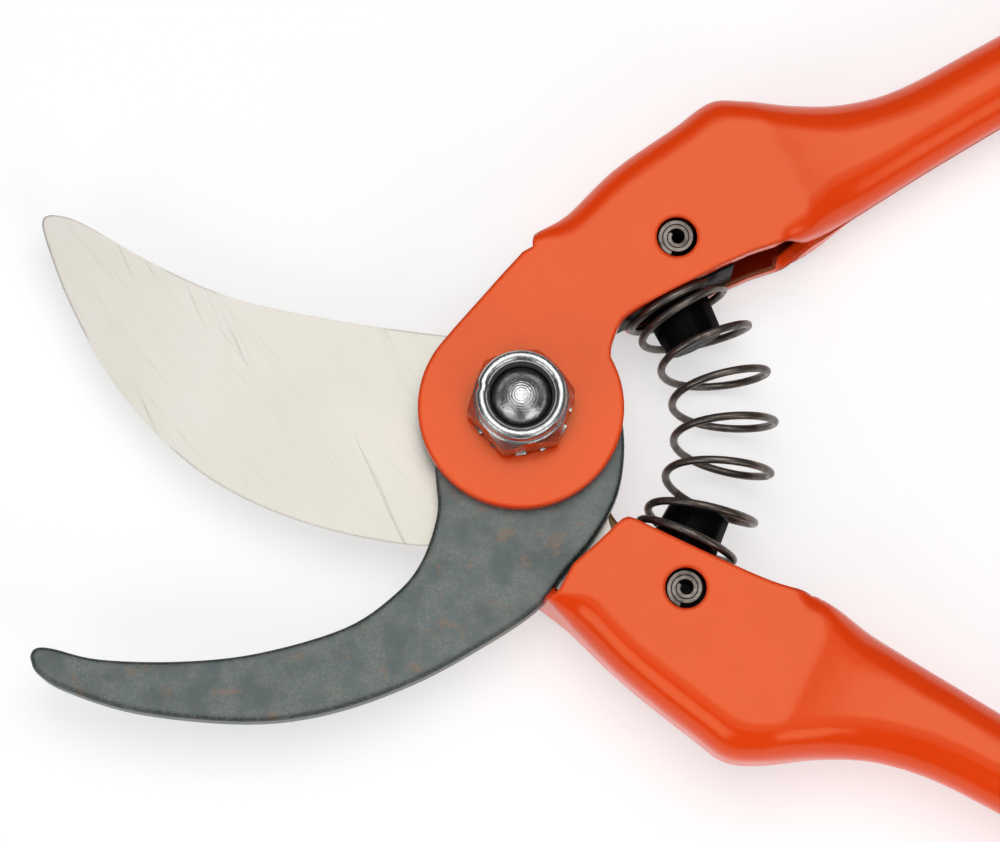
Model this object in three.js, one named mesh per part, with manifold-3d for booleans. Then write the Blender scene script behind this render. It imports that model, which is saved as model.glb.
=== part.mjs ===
// Bypass pruning shears with a return spring, lying on their side and fully open.
// Millimetres. While it is drawn, the pivot axis is the Z axis, Z = 0 is the plane where the
// two blades slide on each other, and X runs from the pivot towards the handle ends.
// Each lever is drawn in its closed position and then turned open about the pivot.

import * as THREE from 'three';
import { mergeVertices } from 'three/addons/utils/BufferGeometryUtils.js';
import Module from 'manifold-3d';

const wasm = await Module();
wasm.setup();

const openAngle = THREE.MathUtils.degToRad(51);
const slideGap = 0.1;
const restGap = 0.3;
const sheet = 2;

// blades and pivot
const cuttingThickness = 3;
const counterThickness = 3.5;
const bevelWidth = 4;
const hubRadius = 13.2;
const boltRadius = 4;
const boltHoleRadius = 4.25;
const neckSide = 8.4;
const headRadius = 8;
const headHeight = 3.4;
const washerThickness = 0.5;
const nutFlats = 12.8;
const nutHexHeight = 5;
const nutHeight = 7.3;
const nutTurn = THREE.MathUtils.degToRad(-18.5);
const collarRadius = 6.1;
const collarMouthRadius = 4.7;
const insertRadius = 5.2;
const insertHeight = 1.6;

// handles
const discRadius = 13.8;
const channelDepth = 13.8;
const bendRadius = 3.4;
const tubeRadius = 5.6;
const endTaper = 2.6;
const pinRadius = 2.5;
const pinBore = 0.7;

// return spring
const wireRadius = 0.54;
const coilRadius = 6.8;
const coilTurns = 7.65;
const startTurn = 0.14;
const closedTurns = 1;
const closedPitch = 1.15;
const springBow = 0.4;

// closing catch
const catchWire = 1.25;
const catchReach = 34;
const catchAngle = THREE.MathUtils.degToRad(160);

const cutPlane = slideGap / 2;
const counterTop = cutPlane + counterThickness;
const cuttingBack = -cutPlane - cuttingThickness;

// Each handle is drawn with its pivot disc on the +Z side. The lower one is turned over.
const upperShape = {
  discTop: counterTop + slideGap + sheet,
  outer: [[11, 20.9], [16, 21.8], [26, 25], [36, 26.8], [42, 27.9], [46, 26.2], [52, 23],
    [59, 20.2], [66, 19], [78, 19.6], [101, 21], [124, 19.8], [150, 15.8]],
  inner: [[11, 5.7], [26, 5.8], [36, 6], [46, 4.9], [53, 5.5], [66, 7.1], [84, 8.8],
    [101, 9.6], [124, 8.2], [150, 5.2]],
  backDrop: 0.8,
  mouthEnd: 45.5,
  pin: [29.1, 12.1],
  seatFrom: 16.5,
  seatTo: 34.8,
  seatCentre: 25.7,
  seatFace: 5.7,
  bufferEnd: -1.15,
};
const lowerShape = {
  discTop: -cuttingBack + slideGap + sheet,
  outer: [[12, 22.3], [17, 23.8], [29, 27.5], [40, 30.1], [44.5, 30.9], [48.5, 29.6],
    [56, 25.3], [62.5, 22.6], [70, 21.4], [79, 21.6], [101, 22.9], [124, 21.7], [150, 17.6]],
  inner: [[12, 7.7], [30, 7.8], [40, 7.6], [48, 6.6], [56, 7.6], [66, 8.7], [82, 10.3],
    [101, 11], [124, 9.8], [150, 6.8]],
  backDrop: 0,
  mouthEnd: 48,
  pin: [30.4, 13.3],
  seatFrom: 20.1,
  seatTo: 36,
  seatCentre: 27.5,
  seatFace: 7.6,
  bufferEnd: 1.55,
};

// ---- solids -------------------------------------------------------------------------------

function toSolid(geometry) {
  const bare = geometry.clone();
  bare.deleteAttribute('normal');
  bare.deleteAttribute('uv');
  const merged = mergeVertices(bare, 1e-4);
  const mesh = new wasm.Mesh({
    numProp: 3,
    vertProperties: new Float32Array(merged.attributes.position.array),
    triVerts: new Uint32Array(merged.index.array),
  });
  return new wasm.Manifold(mesh);
}

function toGeometry(solid) {
  const mesh = solid.getMesh();
  const geometry = new THREE.BufferGeometry();
  geometry.setAttribute('position', new THREE.BufferAttribute(mesh.vertProperties, 3));
  geometry.setIndex(new THREE.BufferAttribute(mesh.triVerts, 1));
  return geometry;
}

// Upright cylinder between two heights.
function rod(x, y, radius, low, high, sides = 32) {
  const geometry = new THREE.CylinderGeometry(radius, radius, high - low, sides);
  geometry.rotateX(Math.PI / 2);
  geometry.translate(x, y, (low + high) / 2);
  return toSolid(geometry);
}

function block(x0, x1, y0, y1, z0, z1) {
  const geometry = new THREE.BoxGeometry(x1 - x0, y1 - y0, z1 - z0);
  geometry.translate((x0 + x1) / 2, (y0 + y1) / 2, (z0 + z1) / 2);
  return toSolid(geometry);
}

// Flat plate of a shape between two heights.
function plate(shape, low, high, curveSegments = 6) {
  const geometry = new THREE.ExtrudeGeometry(shape, {
    depth: high - low,
    bevelEnabled: false,
    curveSegments,
  });
  geometry.translate(0, 0, low);
  return geometry;
}

// Turned piece about the Z axis. Profile points are [radius, z].
function turned(profile, sides = 32) {
  const points = profile.map(([radius, z]) => new THREE.Vector2(radius, z));
  const geometry = new THREE.LatheGeometry(points, sides);
  geometry.rotateX(Math.PI / 2);
  return toSolid(geometry);
}

function shapeFrom(start, build) {
  const shape = new THREE.Shape();
  shape.moveTo(...start);
  build(shape);
  return shape;
}

function throughPoints(shape, points) {
  shape.splineThru(points.map(([x, y]) => new THREE.Vector2(x, y)));
}

// ---- blades -------------------------------------------------------------------------------

// The lower lever's blade. Its flat side faces up and its ground bevel faces down.
function cuttingBlade() {
  const edge = [[-68, -6.7], [-61.6, -12.6], [-52, -19.4], [-40.2, -24.5], [-30, -26.3],
    [-19, -25.7], [-8.7, -23.4], [-2, -21]];
  const shape = shapeFrom([-70.3, -3.2], (s) => {
    throughPoints(s, edge);
    throughPoints(s, [[6, -19.4], [14, -19.6]]);
    throughPoints(s, [[24, -21.4], [33, -21.2], [37, -18.5], [37.5, -14], [34, -10.6]]);
    s.lineTo(17.6, -8.8);
    throughPoints(s, [[15, -5.4], [13.2, -1]]);
    s.absarc(0, 0, hubRadius, -0.07, Math.PI * 0.84, false);
    throughPoints(s, [[-18.3, 4.1], [-29.6, 0.7], [-42, -2.1], [-53.4, -2.5],
      [-65.1, -1.6], [-68.5, -2.1], [-70.3, -3.2]]);
  });
  const geometry = plate(shape, cuttingBack, -cutPlane, 3);
  const position = geometry.attributes.position;
  const point = new THREE.Vector2();
  for (let i = 0; i < position.count; i += 1) {
    point.set(position.getX(i), position.getY(i));
    const onEdge = point.x < -2 && point.y < -3.3 && point.length() > 20;
    if (onEdge && position.getZ(i) < -cuttingThickness / 2) {
      const width = bevelWidth * THREE.MathUtils.smoothstep(-point.y, 3.3, 12);
      point.addScaledVector(new THREE.Vector2(-20 - point.x, 4 - point.y).normalize(), width);
      position.setXY(i, point.x, point.y);
    }
  }
  const [pinX, pinY] = lowerShape.pin;
  return toSolid(geometry)
    .subtract(rod(0, 0, boltHoleRadius, -9, 9))
    .subtract(rod(pinX, -pinY, pinRadius + restGap, -9, 9, 20));
}

// The upper lever's hooked blade, which the branch rests in.
function counterBlade() {
  const shape = shapeFrom([-73.4, -2.3], (s) => {
    throughPoints(s, [[-73.4, -4.2], [-71, -8], [-63.4, -15], [-51, -22.4], [-40.5, -25.9],
      [-29, -27.1], [-18.8, -26.6], [-9.9, -25.3], [-4.5, -22.6], [1.6, -19.7],
      [6.8, -15.8], [10.4, -10.4], [12.6, -4]]);
    throughPoints(s, [[13.3, 0.5], [14.1, 4.6], [16.4, 7]]);
    throughPoints(s, [[31, 7.4], [34.5, 10.5], [33.5, 16], [28.5, 18.6]]);
    throughPoints(s, [[20, 18.2], [8, 16], [-2, 13.05]]);
    s.absarc(0, 0, hubRadius, Math.PI * 0.55, Math.PI * 1.01, false);
    throughPoints(s, [[-14.4, -3.8], [-16.3, -8.1], [-20.9, -12.9], [-26.1, -15.4],
      [-34, -16.6], [-45.8, -14.7], [-55.7, -11.2], [-65.1, -6.4], [-70.1, -2.4],
      [-72, -1.4], [-73.4, -2.3]]);
  });
  const [pinX, pinY] = upperShape.pin;
  return toSolid(plate(shape, cutPlane, counterTop, 3))
    .subtract(rod(0, 0, boltHoleRadius, -9, 9))
    .subtract(rod(pinX, pinY, pinRadius + restGap, -9, 9, 20));
}

// ---- handles ------------------------------------------------------------------------------

// Smooth curve through [x, y] points, read as y at x.
function smoothLine(points) {
  const slope = points.map((point, i) => {
    const before = points[Math.max(i - 1, 0)];
    const after = points[Math.min(i + 1, points.length - 1)];
    return (after[1] - before[1]) / (after[0] - before[0]);
  });
  return (x) => {
    let i = 0;
    while (i < points.length - 2 && x > points[i + 1][0]) {
      i += 1;
    }
    const [x0, y0] = points[i];
    const [x1, y1] = points[i + 1];
    const span = x1 - x0;
    const t = (x - x0) / span;
    const rise = y0 * (1 + 2 * t) * (1 - t) ** 2 + y1 * t * t * (3 - 2 * t);
    return rise + span * t * (1 - t) * (slope[i] * (1 - t) - slope[i + 1] * t);
  };
}

// Skin over rounded rectangles at places along X. sectionAt gives each one's limits, the radii
// of its corners on the inner and the outer side, and how far its inner back corner drops.
function skin(places, sectionAt) {
  const cornerSteps = 4;
  const sides = 4 * (cornerSteps + 1);
  const geometry = new THREE.CylinderGeometry(1, 1, 1, sides, places.length - 1);
  const position = geometry.attributes.position;
  for (let i = 0; i < position.count; i += 1) {
    const across = position.getX(i);
    const along = position.getZ(i);
    const station = Math.round((0.5 - position.getY(i)) * (places.length - 1));
    const s = sectionAt(places[station]);
    const middleY = (s.inner + s.outer) / 2;
    const middleZ = (s.low + s.high) / 2;
    if (Math.hypot(across, along) < 0.5) {
      position.setXYZ(i, places[station], middleY, middleZ);
      continue;
    }
    const turn = (Math.atan2(-across, along) / (2 * Math.PI) + 1) % 1;
    const index = Math.round(turn * sides) % sides;
    const quarter = Math.floor(index / (cornerSteps + 1));
    const angle = (quarter + (index % (cornerSteps + 1)) / cornerSteps) * (Math.PI / 2);
    const onOuter = quarter === 0 || quarter === 3;
    const radius = onOuter ? s.outerRadius : s.innerRadius;
    const cornerY = onOuter ? s.outer - radius : s.inner + radius;
    const cornerZ = quarter < 2 ? s.high - radius : s.low + radius;
    const drop = !onOuter && quarter === 2 ? s.drop : 0;
    const y = cornerY + radius * Math.cos(angle) - drop;
    position.setXYZ(i, places[station], y, cornerZ + radius * Math.sin(angle));
  }
  return toSolid(geometry);
}

function range(start, end, step) {
  const count = Math.round((end - start) / step);
  return Array.from({ length: count + 1 }, (_, i) => start + ((end - start) * i) / count);
}

// Pressed sheet handle: an open channel at the pivot end that rolls up into a closed tube.
function handleBody(shape) {
  const outerAt = smoothLine(shape.outer);
  const innerAt = smoothLine(shape.inner);
  const start = shape.outer[0][0];
  const end = shape.outer[shape.outer.length - 1][0];
  const back = shape.discTop - channelDepth;
  const roll = (x) => THREE.MathUtils.smoothstep(x, shape.mouthEnd - 3, shape.mouthEnd + 6);
  // towards their ends both handles get thinner and come to lie level with each other
  const level = (x) => THREE.MathUtils.smoothstep(x, 95, 135);
  const middleAt = (x) => (shape.discTop - channelDepth / 2) * (1 - level(x));
  const round = (x) => Math.sqrt(Math.max(0.02, 1 - Math.max(0, (x - end + 5) / 5) ** 2));

  const shell = (x) => {
    const closeness = round(x);
    const centre = (outerAt(x) + innerAt(x)) / 2;
    const half = ((outerAt(x) - innerAt(x)) / 2) * closeness;
    const halfDepth = (channelDepth / 2 - endTaper * level(x)) * closeness;
    const limit = Math.min(half, halfDepth) * 0.96;
    return {
      inner: centre - half,
      outer: centre + half,
      low: middleAt(x) - halfDepth,
      high: middleAt(x) + halfDepth,
      drop: shape.backDrop * (1 - roll(x)),
      innerRadius: Math.min(limit, THREE.MathUtils.lerp(0.05, tubeRadius, roll(x))),
      outerRadius: Math.min(limit, THREE.MathUtils.lerp(bendRadius, tubeRadius, roll(x))),
    };
  };
  const hollow = (x) => {
    const s = shell(x);
    const open = 1 - THREE.MathUtils.smoothstep(x, shape.mouthEnd - 4, shape.mouthEnd + 1);
    return {
      inner: s.inner + sheet - open * (sheet + 6),
      outer: s.outer - sheet,
      low: s.low + sheet,
      high: s.high - sheet,
      drop: 0,
      innerRadius: Math.max(0.05, s.innerRadius - sheet),
      outerRadius: Math.max(0.05, s.outerRadius - sheet),
    };
  };
  const bodyPlaces = [...range(start, 38, 4), ...range(40, 54, 2), ...range(58, end - 6, 6),
    end - 3.5, end - 2, end - 1, end];
  const hollowPlaces = [start - 2, ...range(start + 2, 38, 6), ...range(40, 54, 2),
    ...range(60, end - 12, 9), end - 6];
  const body = skin(bodyPlaces, shell).subtract(skin(hollowPlaces, hollow));

  // the cheek without the disc stops short of the blades on a straight line
  const stop = shapeFrom([-10, -12], (s) => {
    s.lineTo(20.6, 2);
    s.lineTo(18.9, shape.inner[0][1] + 0.4);
    s.lineTo(14.6, shape.outer[0][1]);
    s.lineTo(start + 1.2, shape.outer[0][1] + 3);
    s.lineTo(start - 2, shape.outer[0][1] + 8);
    s.lineTo(-10, 30);
  });
  const stopCut = toSolid(plate(stop, back - 5, shape.discTop - sheet));

  // the cheek with the pivot disc
  const neck = shape.inner[0][1];
  const shoulder = shape.outer[0][1];
  const disc = shapeFrom([24, neck], (s) => {
    s.lineTo(20.8, neck - 0.1);
    throughPoints(s, [[17.6, neck - 0.7], [14.9, neck - 3], [discRadius, 1]]);
    s.absarc(0, 0, discRadius, 0.07, THREE.MathUtils.degToRad(116), true);
    s.lineTo(5, shoulder - 3.6);
    throughPoints(s, [[8.4, shoulder - 1.6], [start, shoulder], [14, shoulder - 0.4]]);
    s.lineTo(24, shoulder - 0.4);
  });
  const cheek = toSolid(plate(disc, shape.discTop - sheet, shape.discTop, 8));

  const [pinX, pinY] = shape.pin;
  return body
    .subtract(stopCut)
    .add(cheek)
    .subtract(rod(pinX, pinY, pinRadius + restGap / 2, -20, 20, 24));
}

function upperHandle() {
  const pivotY = catchPivot.y;
  return handleBody(upperShape)
    .subtract(rod(0, 0, boltHoleRadius, -20, 20))
    .subtract(rod(catchPivot.x, pivotY, catchWire + restGap, -20, 20, 20));
}

function lowerHandle() {
  const half = (neckSide + restGap) / 2;
  return handleBody(lowerShape).subtract(block(-half, half, -half, half, -20, 20));
}

// Coiled pin through a handle and the blade inside it.
function seatPin(shape) {
  const [x, y] = shape.pin;
  const top = shape.discTop - 0.4;
  const low = shape.discTop - channelDepth + 0.4;
  return rod(x, y, pinRadius, low, top, 24).subtract(rod(x, y, pinBore, -20, 20, 12));
}

// Moulded seat in the channel's mouth: a flange for the spring, a buffer cone that enters it,
// and a lug beside the blade for the coiled pin.
function springSeat(shape, bladeLow) {
  const back = shape.discTop - channelDepth + sheet + slideGap;
  const front = shape.discTop - sheet - slideGap;
  const middle = shape.discTop - channelDepth / 2;
  const cheekEdge = shape.inner[1][1];
  const flangeTop = bladeLow - restGap;
  const left = shape.seatFrom;
  const right = shape.seatTo;
  const lip = block(left, right, shape.seatFace, shape.seatFace + 0.8, back, front);
  const bar = block(left, right, shape.seatFace, cheekEdge + 1.5, back, flangeTop);
  const lug = block(left + 3, right, shape.seatFace + 1, shape.pin[1] + 4.5, back, flangeTop);
  const height = shape.seatFace + 0.5 - shape.bufferEnd;
  const cone = new THREE.CylinderGeometry(4.7, 4.2, height, 16);
  cone.translate(shape.seatCentre, shape.bufferEnd + height / 2, middle);
  const [pinX, pinY] = shape.pin;
  return lip
    .add(bar)
    .add(lug)
    .add(toSolid(cone))
    .subtract(rod(pinX, pinY, pinRadius + restGap / 2, -20, 20, 24));
}

// ---- pivot --------------------------------------------------------------------------------

const headTop = cuttingBack - slideGap - sheet - slideGap;
const nutBase = upperShape.discTop + slideGap + washerThickness + slideGap;

function pivotBolt() {
  const low = headTop - headHeight;
  const tip = nutBase + nutHeight - 0.3;
  const body = turned([[0, low], [headRadius - 1, low], [headRadius, low + 1],
    [headRadius, headTop - 0.4], [headRadius - 0.4, headTop], [boltRadius, headTop],
    [boltRadius, tip - 1.2], [boltRadius - 0.8, tip - 0.5], [0, tip]], 36);
  const half = neckSide / 2;
  return body.add(block(-half, half, -half, half, headTop - 0.5, headTop + sheet));
}

function pivotNut() {
  const corner = nutFlats / Math.sqrt(3);
  const hexagon = new THREE.CylinderGeometry(corner, corner, nutHexHeight, 6);
  hexagon.rotateX(Math.PI / 2);
  hexagon.rotateZ(nutTurn);
  hexagon.translate(0, 0, nutBase + nutHexHeight / 2);
  const chamfer = turned([[0, nutBase], [6.8, nutBase], [7.4, nutBase + 0.4],
    [7.4, nutBase + 2.4], [6.3, nutBase + nutHexHeight], [0, nutBase + nutHexHeight]]);
  const top = nutBase + nutHeight;
  const collar = turned([[0, nutBase + 3.5], [collarRadius, nutBase + 3.5],
    [collarRadius, top - 1.2], [collarRadius - 0.9, top], [0, top]]);
  const insertBottom = top - insertHeight - 0.7;
  const bore = turned([[0, nutBase - 1], [boltHoleRadius + 0.05, nutBase - 1],
    [boltHoleRadius + 0.05, insertBottom], [insertRadius + restGap, insertBottom],
    [insertRadius + restGap, top - 0.6], [collarMouthRadius, top - 0.3],
    [collarMouthRadius, top + 1], [0, top + 1]]);
  return toSolid(hexagon).intersect(chamfer).add(collar).subtract(bore);
}

function nutInsert() {
  const top = nutBase + nutHeight - 0.9;
  const inside = boltRadius + 0.15;
  return turned([[inside, top - insertHeight + 0.3], [insertRadius, top - insertHeight + 0.3],
    [insertRadius, top], [inside, top], [inside, top - insertHeight + 0.3]]);
}

function toothWasher() {
  const low = upperShape.discTop + slideGap;
  const ring = rod(0, 0, 6.2, low, low + washerThickness, 40);
  const tooth = new THREE.BoxGeometry(1.9, 1.9, washerThickness);
  tooth.translate(6.2, 0, low + washerThickness / 2);
  const teeth = 12;
  let washer = ring;
  for (let i = 0; i < teeth; i += 1) {
    washer = washer.add(toSolid(tooth));
    tooth.rotateZ((2 * Math.PI) / teeth);
  }
  return washer.subtract(rod(0, 0, boltHoleRadius, -20, 20));
}

// ---- return spring ------------------------------------------------------------------------

// Helix on an arc between the two seats, in the open position. Its end turns lie flat on the
// seats, and the turns between them fan out evenly about the pivot.
class SpringCurve extends THREE.Curve {
  constructor() {
    super();
    const half = openAngle / 2;
    const onSeat = (shape, side) => {
      const lift = shape.seatFace - wireRadius - slideGap;
      const centre = new THREE.Vector2(shape.seatCentre, side * lift);
      const inward = new THREE.Vector2(0, -side);
      const pivot = new THREE.Vector2();
      centre.rotateAround(pivot, side * half);
      inward.rotateAround(pivot, side * half);
      const opened = centre.clone().addScaledVector(inward, closedPitch * closedTurns);
      return { centre, inward, opened };
    };
    this.top = onSeat(upperShape, 1);
    this.bottom = onSeat(lowerShape, -1);
    this.topZ = upperShape.discTop - channelDepth / 2;
    this.bottomZ = channelDepth / 2 - lowerShape.discTop;
  }

  centreAt(turns, active) {
    const pitch = closedPitch * Math.min(turns, coilTurns - turns);
    if (turns < closedTurns) {
      return this.top.centre.clone().addScaledVector(this.top.inward, pitch);
    }
    if (turns > coilTurns - closedTurns) {
      return this.bottom.centre.clone().addScaledVector(this.bottom.inward, pitch);
    }
    const angle = (v) => Math.atan2(v.y, v.x);
    const { lerp } = THREE.MathUtils;
    const turn = lerp(angle(this.top.opened), angle(this.bottom.opened), active);
    const straight = lerp(this.top.opened.length(), this.bottom.opened.length(), active);
    const reach = straight + springBow * Math.sin(Math.PI * active);
    return new THREE.Vector2(reach * Math.cos(turn), reach * Math.sin(turn));
  }

  getPoint(t, target = new THREE.Vector3()) {
    const turns = t * coilTurns;
    const activeTurns = coilTurns - 2 * closedTurns;
    const active = THREE.MathUtils.clamp((turns - closedTurns) / activeTurns, 0, 1);
    const centre = this.centreAt(turns, active);
    const tilt = (openAngle / 2) * (1 - 2 * active);
    const phase = 2 * Math.PI * (turns + startTurn);
    const across = coilRadius * Math.cos(phase);
    const middle = THREE.MathUtils.lerp(this.topZ, this.bottomZ, active);
    target.set(centre.x + across * Math.cos(tilt), centre.y + across * Math.sin(tilt), middle);
    target.z += coilRadius * Math.sin(phase);
    return target;
  }
}

function returnSpring() {
  const section = new THREE.Shape();
  section.absarc(0, 0, wireRadius, 0, 2 * Math.PI, false);
  return new THREE.ExtrudeGeometry(section, {
    steps: Math.round(coilTurns * 14),
    curveSegments: 3,
    bevelEnabled: false,
    extrudePath: new SpringCurve(),
  });
}

// ---- closing catch ------------------------------------------------------------------------

const catchPivot = { x: 143, y: 11.4 };

// Wire bail on the upper handle's end. Its crossbar hooks over the other handle.
function closingCatch() {
  const legOffset = channelDepth / 2 - endTaper + catchWire + restGap + 0.2;
  const corner = 3;
  const path = new THREE.CurvePath();
  const at = (u, z) => new THREE.Vector3(u, 0, z);
  const bend = (a, b, c) => path.add(new THREE.QuadraticBezierCurve3(a, b, c));
  const line = (a, b) => path.add(new THREE.LineCurve3(a, b));
  for (const side of [1, -1]) {
    const z = side * legOffset;
    const cornerZ = side * (legOffset - corner);
    const pinStart = at(0, side * (legOffset - 3.4));
    const pinTop = at(0, side * (legOffset - 1.6));
    if (side === 1) {
      line(pinStart, pinTop);
      bend(pinTop, at(0, z), at(1.6, z));
      line(at(1.6, z), at(catchReach - corner, z));
      bend(at(catchReach - corner, z), at(catchReach, z), at(catchReach, cornerZ));
      line(at(catchReach, cornerZ), at(catchReach, -cornerZ));
    } else {
      bend(at(catchReach, cornerZ), at(catchReach, z), at(catchReach - corner, z));
      line(at(catchReach - corner, z), at(1.6, z));
      bend(at(1.6, z), at(0, z), pinTop);
      line(pinTop, pinStart);
    }
  }
  const section = new THREE.Shape();
  section.absarc(0, 0, catchWire, 0, 2 * Math.PI, false);
  const geometry = new THREE.ExtrudeGeometry(section, {
    steps: 56,
    curveSegments: 4,
    bevelEnabled: false,
    extrudePath: path,
  });
  geometry.rotateZ(catchAngle);
  geometry.translate(catchPivot.x, catchPivot.y, 0);
  return geometry;
}

// ---- assembly -----------------------------------------------------------------------------

const finishes = {
  enamel: { color: 0xe8501e, roughness: 0.25, metalness: 0 },
  bladeSteel: { color: 0xd8d4c8, roughness: 0.35, metalness: 0.9 },
  blackedSteel: { color: 0x5a625f, roughness: 0.55, metalness: 0.6 },
  zinc: { color: 0xc9cccb, roughness: 0.25, metalness: 1 },
  springSteel: { color: 0x4a423c, roughness: 0.4, metalness: 0.8 },
  nylon: { color: 0x4c4f4c, roughness: 0.6, metalness: 0 },
  blackPlastic: { color: 0x111111, roughness: 0.5, metalness: 0 },
};

function part(name, shape, finish) {
  const geometry = shape.isBufferGeometry ? shape : toGeometry(shape);
  const mesh = new THREE.Mesh(geometry, new THREE.MeshStandardMaterial(finishes[finish]));
  mesh.name = name;
  return mesh;
}

const upperLever = new THREE.Group();
upperLever.rotation.z = openAngle / 2;
upperLever.add(part('upper_handle', upperHandle(), 'enamel'));
upperLever.add(part('counter_blade', counterBlade(), 'blackedSteel'));
upperLever.add(part('upper_spring_seat', springSeat(upperShape, cutPlane), 'blackPlastic'));
upperLever.add(part('upper_seat_pin', seatPin(upperShape), 'springSteel'));
upperLever.add(part('closing_catch', closingCatch(), 'zinc'));

const lowerLever = new THREE.Group();
lowerLever.rotation.z = -openAngle / 2;
lowerLever.add(part('cutting_blade', cuttingBlade(), 'bladeSteel'));
lowerLever.add(part('pivot_bolt', pivotBolt(), 'zinc'));

// pieces of the lower lever that are drawn face down
const turnedOver = new THREE.Group();
turnedOver.rotation.x = Math.PI;
turnedOver.add(part('lower_handle', lowerHandle(), 'enamel'));
turnedOver.add(part('lower_spring_seat', springSeat(lowerShape, cutPlane), 'blackPlastic'));
turnedOver.add(part('lower_seat_pin', seatPin(lowerShape), 'springSteel'));
lowerLever.add(turnedOver);

const shears = new THREE.Group();
shears.add(upperLever);
shears.add(lowerLever);
shears.add(part('pivot_tooth_washer', toothWasher(), 'zinc'));
shears.add(part('pivot_nut', pivotNut(), 'zinc'));
shears.add(part('nut_locking_ring', nutInsert(), 'nylon'));
shears.add(part('return_spring', returnSpring(), 'springSteel'));

// The origin goes to the middle of the underside of the open tool.
const extent = new THREE.Box3().setFromObject(shears, true);
const centre = extent.getCenter(new THREE.Vector3());
shears.position.set(-centre.x, -centre.y, -extent.min.z);

export default shears;
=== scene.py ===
import math

import bmesh
import bpy
from mathutils import Matrix, Vector


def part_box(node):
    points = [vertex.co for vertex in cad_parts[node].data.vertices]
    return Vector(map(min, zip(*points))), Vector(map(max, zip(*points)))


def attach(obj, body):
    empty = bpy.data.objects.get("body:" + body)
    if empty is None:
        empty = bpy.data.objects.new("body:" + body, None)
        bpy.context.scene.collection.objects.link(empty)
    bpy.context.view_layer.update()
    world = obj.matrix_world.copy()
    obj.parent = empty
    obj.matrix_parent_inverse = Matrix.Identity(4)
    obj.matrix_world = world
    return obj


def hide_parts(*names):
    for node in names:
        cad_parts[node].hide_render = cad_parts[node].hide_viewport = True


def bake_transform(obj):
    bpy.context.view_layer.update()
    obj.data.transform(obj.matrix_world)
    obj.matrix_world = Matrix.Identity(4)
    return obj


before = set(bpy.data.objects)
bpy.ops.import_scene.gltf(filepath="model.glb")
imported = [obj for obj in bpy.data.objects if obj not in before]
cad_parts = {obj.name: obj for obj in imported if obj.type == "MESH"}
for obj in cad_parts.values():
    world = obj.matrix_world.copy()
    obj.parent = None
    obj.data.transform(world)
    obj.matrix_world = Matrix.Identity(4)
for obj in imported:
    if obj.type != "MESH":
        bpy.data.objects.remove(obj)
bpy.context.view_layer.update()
print("frame loaded")

# Shapes are drawn in millimetres about the pivot, with the levers closed along +X and the
# sliding plane of the blades at z = 0, then turned open and moved to their place in metres.
tool = {
    "openAngle": 51.0,
    "sheet": 2.0,
    "cuttingBack": -3.05,
    "cutPlane": 0.05,
    "counterTop": 3.55,
    "upperTop": 5.65,  # outer face of the upper handle's disc
    "lowerTop": 5.15,
    "channelDepth": 13.8,
    "hubRadius": 13.2,
    "boltHole": 4.25,
}
ringLow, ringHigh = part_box("nut_locking_ring")
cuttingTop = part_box("cutting_blade")[1][2]
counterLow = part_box("counter_blade")[0][2]
pivot = Vector((
    (ringLow[0] + ringHigh[0]) / 2,
    (ringLow[1] + ringHigh[1]) / 2,
    (cuttingTop + counterLow) / 2,
))
halfOpen = math.radians(tool["openAngle"] / 2)
atPivot = Matrix.Translation(pivot) @ Matrix.Scale(0.001, 4)
onUpper = atPivot @ Matrix.Rotation(halfOpen, 4, "Z")
onLower = atPivot @ Matrix.Rotation(-halfOpen, 4, "Z")
onLowerTurned = onLower @ Matrix.Rotation(math.pi, 4, "X")


def mix(a, b, t):
    return a + (b - a) * t


def clamp(t):
    return min(1.0, max(0.0, t))


def ease(x, low, high):
    t = clamp((x - low) / (high - low))
    return t * t * (3 - 2 * t)


def easeAfter(x, origin, stretch):
    # eased along a stretch whose ends are given from an origin
    return ease(x, origin + stretch[0], origin + stretch[1])


def through(points, steps):
    # smooth curve through points, without its first point
    made = []
    last = len(points) - 1
    for i in range(last):
        before, here = points[max(i - 1, 0)], points[i]
        ahead, after = points[i + 1], points[min(i + 2, last)]
        for k in range(1, steps + 1):
            t = k / steps
            made.append(tuple(
                0.5 * (2 * b + (c - a) * t + (2 * a - 5 * b + 4 * c - d) * t * t
                       + (3 * b - a - 3 * c + d) * t ** 3)
                for a, b, c, d in zip(before, here, ahead, after)
            ))
    return made


def arc(radius, start, end, steps):
    angles = [math.radians(mix(start, end, k / steps)) for k in range(steps + 1)]
    return [(radius * math.cos(a), radius * math.sin(a)) for a in angles]


def circle(x, y, radius, steps):
    return [(x + px, y + py) for px, py in arc(radius, 0, 360, steps)[:-1]]


def quarterTurn(radius, steps):
    # (across, fall) along a quarter circle that starts straight on
    angles = [math.pi / 2 * k / steps for k in range(1, steps + 1)]
    return [(radius * math.sin(a), radius * (1 - math.cos(a))) for a in angles]


def lineThrough(points):
    # y at x on a smooth line through [x, y] points
    slopes = []
    for i in range(len(points)):
        before, after = points[max(i - 1, 0)], points[min(i + 1, len(points) - 1)]
        slopes.append((after[1] - before[1]) / (after[0] - before[0]))

    def height(x):
        i = 0
        while i < len(points) - 2 and x > points[i + 1][0]:
            i += 1
        (x0, y0), (x1, y1) = points[i], points[i + 1]
        span = x1 - x0
        t = (x - x0) / span
        rise = y0 * (1 + 2 * t) * (1 - t) ** 2 + y1 * t * t * (3 - 2 * t)
        return rise + span * t * (1 - t) * (slopes[i] * (1 - t) - slopes[i + 1] * t)

    return height


def edgesOf(verts):
    return list({edge for vert in verts for edge in vert.link_edges})


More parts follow.
